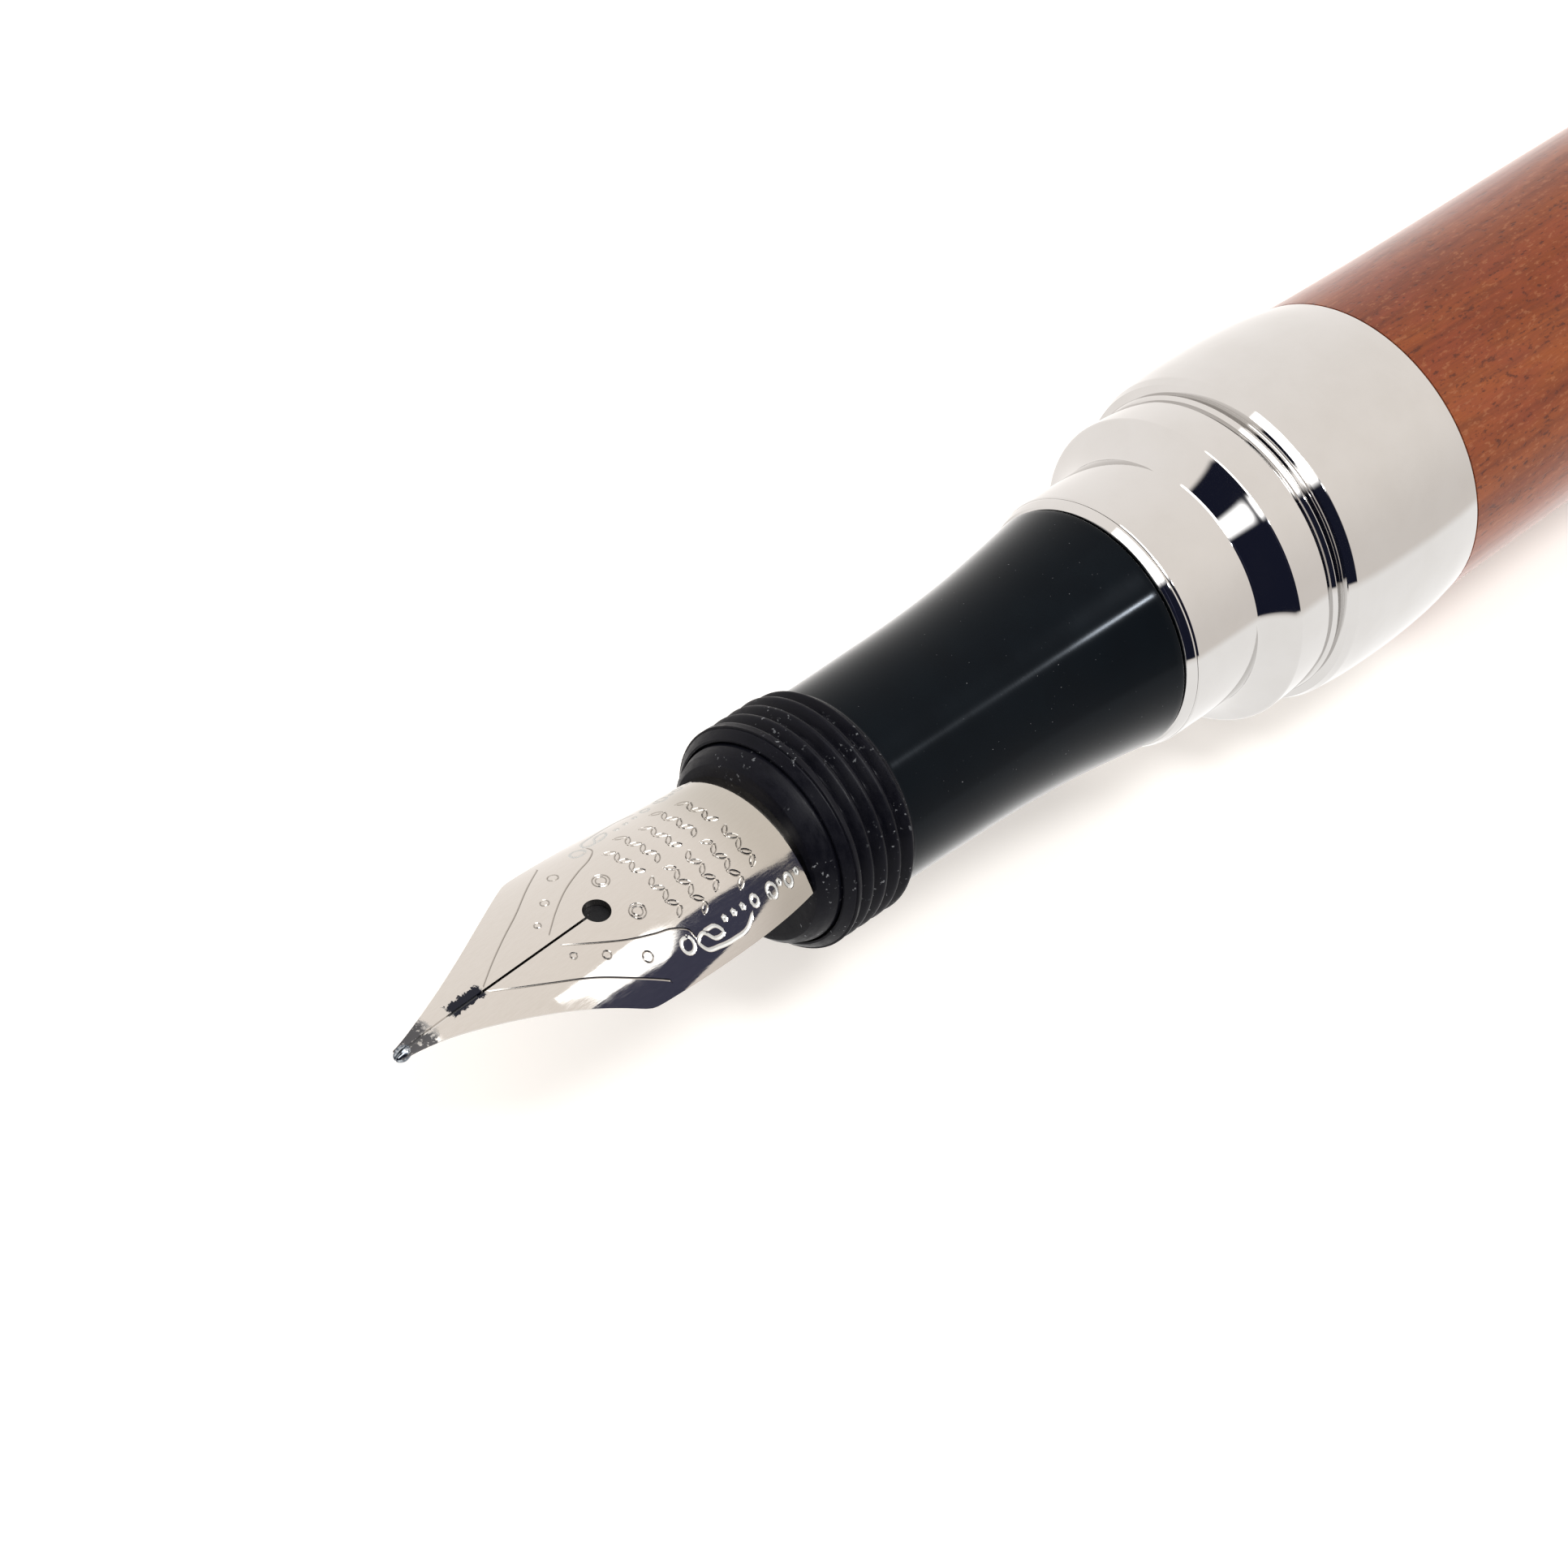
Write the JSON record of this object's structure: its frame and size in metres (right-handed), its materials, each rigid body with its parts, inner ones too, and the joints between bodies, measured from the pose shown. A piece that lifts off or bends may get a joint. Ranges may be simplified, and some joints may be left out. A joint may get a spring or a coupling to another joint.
{
  "type": "fountain pen",
  "caption": "Fountain pen with an engraved steel nib, black grip section, turned chrome collars, a turned wooden barrel, and its matching clip cap posted on the tail.",
  "frame": {"origin": "on the pen's axis, at the rear end of the coupler's slim ring, where a desk sleeve stops", "axes": "+X along the axis from the nib to the tail; +Z towards the top of the nib, the side that the slit and breather hole open on; +Y completes the right-handed set"},
  "size_m": [0.1847, 0.018, 0.017],
  "materials": {
    "chrome": "polished",
    "wood": "satin lacquer over fine straight grain",
    "grip_plastic": "satin black",
    "feed_plastic": "matt black",
    "boss_plastic": "moulded black",
    "nib_steel": "polished, engraved",
    "tipping": "hard alloy pellet, ink stained",
    "steel": "bright",
    "brass": "drawn tube",
    "rubber": "matt",
    "clear_plastic": "clear moulding",
    "inlay": "polished black"
  },
  "bodies": {
    "barrel": {"barrel_coupler": "chrome", "bead_ring": "chrome", "bell_collar": "chrome", "barrel_tube": "brass", "barrel_wood": "wood", "rear_bushing": "brass", "end_ring": "chrome", "posting_boss": "boss_plastic", "posting_oring": "rubber", "boss_screw": "steel"},
    "trim_ring": {"section_trim_ring": "chrome"},
    "section": {"grip_section": "grip_plastic", "nib_housing": "grip_plastic", "feed": "feed_plastic", "nib": "nib_steel", "nib_tipping": "tipping", "converter_reservoir": "clear_plastic", "converter_collar": "chrome", "converter_guide": "boss_plastic", "agitator_ball": "steel"},
    "piston": {"piston_seal": "rubber", "piston_rod": "boss_plastic"},
    "knob": {"converter_knob": "boss_plastic"},
    "cap": {"cap_band": "chrome", "cap_tube": "brass", "cap_wood": "wood", "cap_thread_insert": "boss_plastic", "cap_liner": "boss_plastic", "cap_end_plug": "brass", "clip_ring": "chrome", "cap_top": "chrome", "cap_inlay": "inlay"},
    "clip": {"clip_arm": "chrome"}
  },
  "joints": [
    {"name": "section_travel", "type": "slide", "parent": "barrel", "child": "trim_ring", "axis": [-1, 0, 0], "range_m": [0, 0.008]},
    {"name": "section_unscrew", "type": "hinge", "parent": "trim_ring", "child": "section", "pos_m": [0, 0, 0], "axis": [-1, 0, 0], "range_deg": [0, 3600]},
    {"name": "knob_turn", "type": "hinge", "parent": "section", "child": "knob", "pos_m": [0.03, 0, 0], "axis": [-1, 0, 0], "range_deg": [0, 2880]},
    {"name": "piston_travel", "type": "slide", "parent": "section", "child": "piston", "axis": [1, 0, 0], "range_m": [0, 0.02]},
    {"name": "cap_pull", "type": "slide", "parent": "barrel", "child": "cap", "axis": [1, 0, 0], "range_m": [0, 0.03]},
    {"name": "clip_flex", "type": "hinge", "parent": "cap", "child": "clip", "pos_m": [0.1296, -0.00774, -0.00649], "axis": [0, -0.6428, 0.766], "range_deg": [0, 3], "stiffness_Nm_per_rad": 1, "springref_deg": -5.73}
  ],
  "couplings": [
    {"joint": "section_unscrew", "follows": "section_travel", "rad_per_m": 7854},
    {"joint": "knob_turn", "follows": "piston_travel", "rad_per_m": 2513.3}
  ]
}
